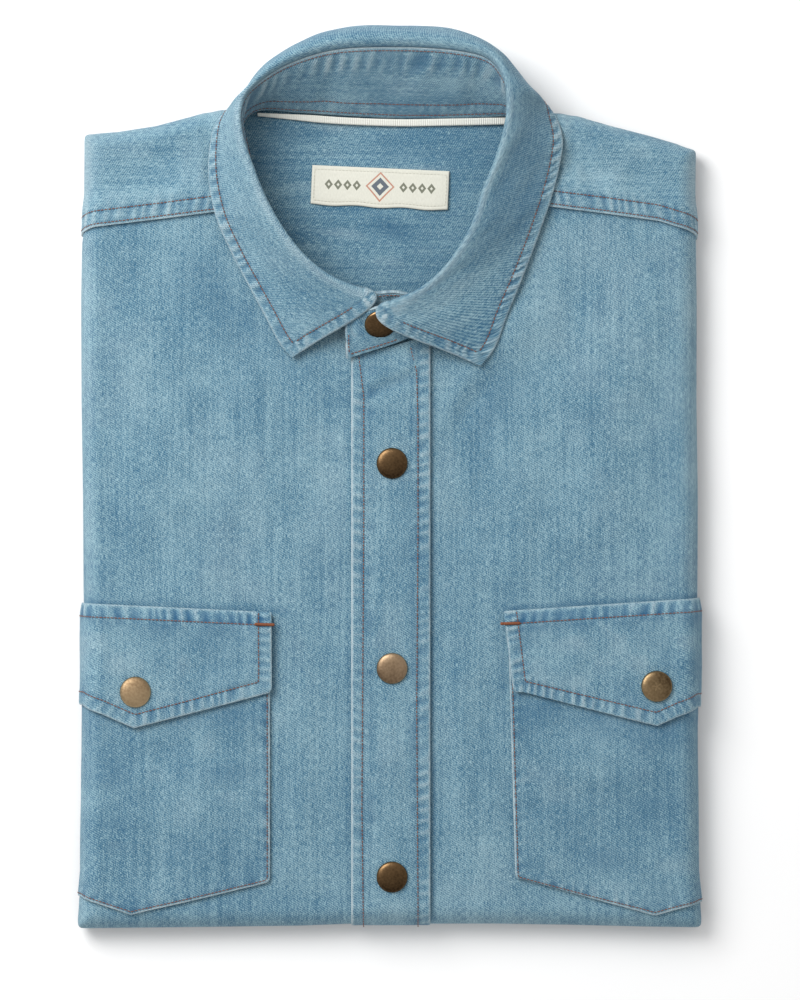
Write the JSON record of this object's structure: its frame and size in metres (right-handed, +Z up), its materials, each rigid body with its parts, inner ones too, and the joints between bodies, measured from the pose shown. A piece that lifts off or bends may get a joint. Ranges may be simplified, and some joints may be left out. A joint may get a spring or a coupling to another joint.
{
  "type": "folded denim shirt",
  "caption": "Light-wash denim shirt folded flat on its back, with a snap placket, flapped chest pockets, shoulder yokes and an open collar standing over a neck well.",
  "frame": {"origin": "middle of the folded shirt's box, at the flat underside", "axes": "+Z up from the surface it lies on, out of the fronts; +Y from the hem fold towards the collar; +X towards the wearer's left side"},
  "size_m": [0.3028, 0.4335, 0.0431],
  "materials": {
    "denim": "light-wash indigo twill, matt, brushed pale at the seams",
    "denim_inside": "less faded indigo twill, matt",
    "denim_folded": "folded layers of indigo twill, matt",
    "twill_tape": "off-white ribbed cotton tape",
    "label_weave": "off-white woven label, satin",
    "snap_brass": "antique brass, dark, worn bright at the rim",
    "flap_snap_brass": "antique brass, brushed lighter",
    "topstitch": "rust-brown core-spun thread, matt"
  },
  "bodies": {
    "root": {"hidden_layers": "denim_folded", "front_right": "denim", "front_left": "denim", "placket": "denim", "yoke_right": "denim", "yoke_left": "denim", "yoke_inside": "denim_inside", "collar_stand": "denim", "collar_leaf": "denim", "neck_tape": "twill_tape", "label": "label_weave", "pocket_right": "denim", "pocket_left": "denim", "flap_right": "denim", "flap_left": "denim", "snap_collar": "snap_brass", "snap_front_1": "snap_brass", "snap_front_2": "snap_brass", "snap_front_3": "snap_brass", "snap_flap_right": "flap_snap_brass", "snap_flap_left": "flap_snap_brass"}
  },
  "joints": []
}
